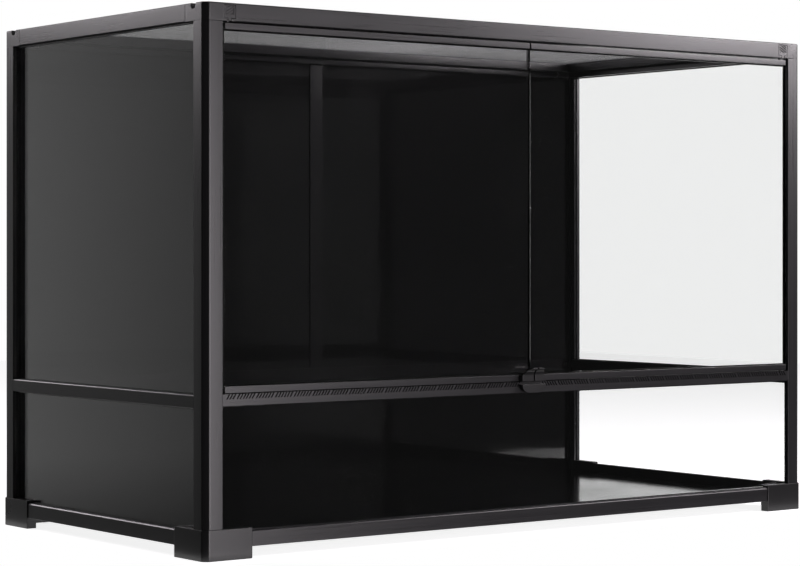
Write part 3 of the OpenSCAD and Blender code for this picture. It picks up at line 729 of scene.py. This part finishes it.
class TERRARIUM_OT_bars(Operator):
    """Finish the posts, the rails and the back mullion"""

    bl_idname = "terrarium.bars"
    bl_label = "Posts and rails"

    def execute(self, context):
        rounding = context.scene.terrarium_sizes.bar_round
        upright = satin_bar("upright", ALONG_HEIGHT)
        dress(both_sides("post_front", "post_rear"), upright, rounding)
        inner_upright = satin_bar("inner upright", ALONG_HEIGHT, SMOOTH_SATIN)
        dress(["rear_mullion"], inner_upright, rounding)
        across = satin_bar("across", ALONG_WIDTH)
        dress(["bottom_rail_front", "top_rail_front"], across, rounding)
        dress(["vent_rail"], across)
        inner_across = satin_bar("inner across", ALONG_WIDTH, SMOOTH_SATIN)
        dress(["bottom_rail_rear", "top_rail_rear", "mid_rail_rear"], inner_across, rounding)
        deep = satin_bar("deep", ALONG_DEPTH)
        dress(both_sides("bottom_rail", "top_rail"), deep, rounding)
        dress(both_sides("mid_rail"), deep, rounding / 4)
        return {"FINISHED"}


class TERRARIUM_OT_blocks(Operator):
    """Finish the feet, the top corners and the keeper under the handles"""

    bl_idname = "terrarium.blocks"
    bl_label = "Feet and corners"

    def execute(self, context):
        sizes = context.scene.terrarium_sizes
        corners = both_sides("foot_front", "foot_rear", "top_corner_front", "top_corner_rear")
        black = moulded_black("Moulded black")
        dress(corners, black, sizes.block_round)
        dress(["latch_keeper"], black, sizes.small_round)
        dress(["foot_pads"], black_rubber("Pad rubber", scale=700.0), sizes.small_round)
        dress(["hinge_bushes"], natural_nylon())
        dress(["latch_magnets"], plated_steel(), sizes.small_round)
        return {"FINISHED"}


class TERRARIUM_OT_screws(Operator):
    """Make the foot screws, with cross recesses and threads"""

    bl_idname = "terrarium.screws"
    bl_label = "Foot screws"

    def execute(self, context):
        sizes = context.scene.terrarium_sizes
        low, high = box_corners(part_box("foot_screws"))
        places = [Vector((x, y, low.z)) for x in (low.x + HEAD_RADIUS, high.x - HEAD_RADIUS)
                  for y in (low.y + HEAD_RADIUS, high.y - HEAD_RADIUS)]

        def build(form):
            for place in places:
                screw(form, place, high.z - low.z, sizes)

        screws = mesh_object("cross_head_screws", build)
        finished(screws, "frame", "plain_steel", plated_steel(), "foot_screws")
        return {"FINISHED"}


class TERRARIUM_OT_panes(Operator):
    """Finish the glass panes and the gaskets around them"""

    bl_idname = "terrarium.panes"
    bl_label = "Glass panes"

    def execute(self, context):
        rounding = context.scene.terrarium_sizes.glass_round
        side_panes = ["glass_left_upper", "glass_left_lower", "glass_right_upper",
                      "glass_right_lower"]
        dress(side_panes, clear_glass("side", X), rounding)
        front_panes = ["glass_front_lower", "door_glass_left", "door_glass_right"]
        dress(front_panes, clear_glass("front", Y), rounding)
        dress(["glass_gaskets"], black_rubber("Gasket rubber", scale=500.0, rough=SLEEK_RUBBER))
        return {"FINISHED"}


class TERRARIUM_OT_panels(Operator):
    """Finish the gloss back and floor panels"""

    bl_idname = "terrarium.panels"
    bl_label = "Back and floor panels"

    def execute(self, context):
        back = gloss_panel("Gloss back", GLOSS_BACK)
        dress(["back_panel_left", "back_panel_right", "back_panel_lower"], back)
        dress(["floor_panel"], gloss_panel("Gloss floor", GLOSS_FLOOR))
        return {"FINISHED"}


class TERRARIUM_OT_doors(Operator):
    """Finish the doors' strips, handles, strikes and hinge pins"""

    bl_idname = "terrarium.doors"
    bl_label = "Doors"

    def execute(self, context):
        sizes = context.scene.terrarium_sizes
        strips = both_sides("door_top_strip", "door_low_strip")
        dress(strips, satin_bar("strip", ALONG_WIDTH), sizes.small_round)
        dress(both_sides("door_handle"), moulded_black("Handle black"), sizes.small_round)
        steel = plated_steel()
        dress(both_sides("door_strike"), steel)
        dress(both_sides("hinge_pins"), steel, sizes.small_round)
        return {"FINISHED"}


class TERRARIUM_OT_lid(Operator):
    """Finish the lid frame, its clamping strip and the release tabs"""

    bl_idname = "terrarium.lid"
    bl_label = "Lid and release tabs"

    def execute(self, context):
        sizes = context.scene.terrarium_sizes
        dress(["lid_frame"], satin_bar("lid", ALONG_BOTH, SMOOTH_SATIN), sizes.bar_round)
        dress(["mesh_clamp_strip"], black_rubber("Clamp strip", scale=600.0))
        # The tabs' outline and grip recess take painted shade over a wider reach and more
        # strongly
        tab = moulded_black("Tab black", TAB_GAP, TAB_OPEN)
        dress(both_sides("lid_release"), tab, sizes.small_round / 2)
        return {"FINISHED"}


class TERRARIUM_OT_mesh(Operator):
    """Make the wire mesh of the lid, one layer of wires over the other"""

    bl_idname = "terrarium.mesh"
    bl_label = "Wire mesh"

    def execute(self, context):
        sizes = context.scene.terrarium_sizes
        low, high = box_corners(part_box("mesh_screen"))
        radius = sizes.wire_radius
        middle = (low.z + high.z) / 2

        def build(form):
            for axis, other, z in ((0, 1, middle - radius), (1, 0, middle + radius)):
                span = high[other] - low[other]
                count = int(span / sizes.mesh_pitch)
                first = low[other] + (span - (count - 1) * sizes.mesh_pitch) / 2
                for i in range(count):
                    start = Vector((0, 0, z))
                    start[axis] = low[axis]
                    start[other] = first + i * sizes.mesh_pitch
                    end = start.copy()
                    end[axis] = high[axis]
                    tube(form, start, end, radius, sizes.wire_sides)

        wires = mesh_object("mesh_wires", build)
        finished(wires, "lid", "mesh_steel", mesh_wire(), "mesh_screen")
        return {"FINISHED"}


# --- Studio ---

def softbox(name, place, width, height, watts):
    """A soft rectangular lamp that faces the terrarium's middle and stays out of sight."""
    data = bpy.data.lights.new(name, "AREA")
    data.color = bpy.context.scene.terrarium_studio.box_tint
    data.shape = "RECTANGLE"
    data.size = width
    data.size_y = height
    data.energy = watts
    lamp = bpy.data.objects.new(name, data)
    lamp.location = place
    low, high = box_corners(CAD_BOX)
    aim = (low + high) / 2 - lamp.location
    lamp.rotation_euler = aim.to_track_quat("-Z", "Y").to_euler()
    lamp.visible_camera = False
    lamp.visible_transmission = False
    bpy.context.scene.collection.objects.link(lamp)


def seen_rays(tree):
    """A mask of the rays that see the studio: straight, off gloss or through glass."""
    path = tree.nodes.new("ShaderNodeLightPath").outputs
    seen = maths(tree, "ADD", path["Is Camera Ray"], path["Is Glossy Ray"])
    return maths(tree, "ADD", seen, path["Is Transmission Ray"], clamp=True)


def directly_seen_rays(tree):
    """A mask of the camera's rays, also where they only pass through glass."""
    path = tree.nodes.new("ShaderNodeLightPath").outputs
    bounces = maths(tree, "ADD", path["Glossy Depth"], path["Diffuse Depth"])
    straight = maths(tree, "LESS_THAN", bounces, 0.5)
    through_glass = maths(tree, "MULTIPLY", path["Is Transmission Ray"], straight)
    return maths(tree, "MAXIMUM", path["Is Camera Ray"], through_glass)


def studio_world(level, turn, edge):
    """A white backdrop that fades to a dark room around it, and an even dim fill."""
    world = bpy.data.worlds.new("Studio")
    world.use_nodes = True
    bpy.context.scene.world = world
    tree = world.node_tree
    direction = tree.nodes.new("ShaderNodeTexCoord").outputs["Generated"]
    facing = vector_maths(tree, "DOT_PRODUCT", direction)
    facing.inputs[1].default_value = (math.sin(turn), math.cos(turn), 0.0)
    side = spread(tree, facing.outputs["Value"], 0.0, SIDE_WHITE, *edge)
    middle = spread(tree, facing.outputs["Value"], 0.0, MIDDLE_WHITE, *MIDDLE_EDGE)
    backdrop = maths(tree, "ADD", side, middle)
    parts = tree.nodes.new("ShaderNodeSeparateXYZ")
    join(tree, direction, parts.inputs["Vector"])
    for clear, dark in HEIGHT_FADES:
        fade = spread(tree, parts.outputs["Z"], 1.0, 0.0, from_low=clear, from_high=dark)
        backdrop = maths(tree, "MULTIPLY", backdrop, fade)
    backdrop = maths(tree, "MAXIMUM", backdrop, directly_seen_rays(tree))
    room = mixed(tree, backdrop, DARK_ROOM, WHITE)
    light = mixed(tree, seen_rays(tree), (level, level, level), room)
    join(tree, light, tree.nodes["Background"].inputs["Color"])


def studio_floor(reach, colour, glow):
    """A plain pale floor that keeps the shadow, brought to white where it is seen."""
    low, high = box_corners(CAD_BOX)

    def build(form):
        left, front = low.x - reach, low.y - reach
        right, rear = high.x + FLOOR_RIGHT, high.y + FLOOR_REAR
        corners = [(left, front), (right, front), (right, rear), (left, rear)]
        form.faces.new([form.verts.new((x, y, 0.0)) for x, y in corners])

    floor = mesh_object("studio_floor", build)
    material, tree, shader = new_material("Pale floor", Roughness=0.9, Specular_IOR_Level=0.1)
    faint = spread(tree, noise(tree, scale=3.0, detail=2.0), 0.0, 0.06)
    join(tree, mixed(tree, faint, colour, WHITE), shader["Base Color"])
    shader["Emission Color"].default_value = (*WHITE, 1.0)
    join(tree, maths(tree, "MULTIPLY", seen_rays(tree), glow), shader["Emission Strength"])
    floor.data.materials.append(material)


class TERRARIUM_OT_stage(Operator):
    """Set up the floor, the lamps, the surroundings and the camera"""

    bl_idname = "terrarium.stage"
    bl_label = "Studio"

    def execute(self, context):
        scene = context.scene
        studio = scene.terrarium_studio
        camera = bpy.data.objects.new("camera", bpy.data.cameras.new("camera"))
        camera.location = studio.camera_place
        camera.rotation_euler = (math.pi / 2, 0.0, -studio.camera_turn)
        camera.data.lens = studio.lens
        camera.data.shift_y = studio.shift
        scene.collection.objects.link(camera)
        scene.camera = camera
        scene.view_settings.view_transform = "Standard"
        studio_world(studio.fill, studio.camera_turn, studio.backdrop_edge)
        studio_floor(studio.floor_reach, scene.terrarium_colours.floor, studio.floor_glow)
        for name, place, width, height, power in SOFTBOXES:
            softbox(name, place, width, height, getattr(studio, power))
        return {"FINISHED"}


class TERRARIUM_PT_panel(Panel):
    """Sizes, colours and steps of the terrarium"""

    bl_idname = "TERRARIUM_PT_panel"
    bl_label = "Terrarium"
    bl_space_type = "VIEW_3D"
    bl_region_type = "UI"
    bl_category = "Terrarium"

    def draw(self, context):
        scene = context.scene
        for group in (scene.terrarium_sizes, scene.terrarium_colours, scene.terrarium_studio):
            box = self.layout.box()
            for name in group.__annotations__:
                box.prop(group, name)
        for step in STEPS:
            self.layout.operator(step.bl_idname)


STEPS = (TERRARIUM_OT_bars, TERRARIUM_OT_blocks, TERRARIUM_OT_screws, TERRARIUM_OT_panes,
         TERRARIUM_OT_panels, TERRARIUM_OT_doors, TERRARIUM_OT_lid, TERRARIUM_OT_mesh,
         TERRARIUM_OT_stage)
CLASSES = (TerrariumSizes, TerrariumColours, TerrariumStudio, *STEPS, TERRARIUM_PT_panel)


def register():
    for cls in CLASSES:
        bpy.utils.register_class(cls)
    bpy.types.Scene.terrarium_sizes = PointerProperty(type=TerrariumSizes)
    bpy.types.Scene.terrarium_colours = PointerProperty(type=TerrariumColours)
    bpy.types.Scene.terrarium_studio = PointerProperty(type=TerrariumStudio)


def unregister():
    del bpy.types.Scene.terrarium_studio
    del bpy.types.Scene.terrarium_colours
    del bpy.types.Scene.terrarium_sizes
    for cls in reversed(CLASSES):
        bpy.utils.unregister_class(cls)


def main():
    register()
    bpy.ops.terrarium.bars()
    bpy.ops.terrarium.blocks()
    bpy.ops.terrarium.screws()
    bpy.ops.terrarium.panes()
    bpy.ops.terrarium.panels()
    bpy.ops.terrarium.doors()
    bpy.ops.terrarium.lid()
    bpy.ops.terrarium.mesh()
    bpy.ops.terrarium.stage()


if __name__ == "__main__":
    main()
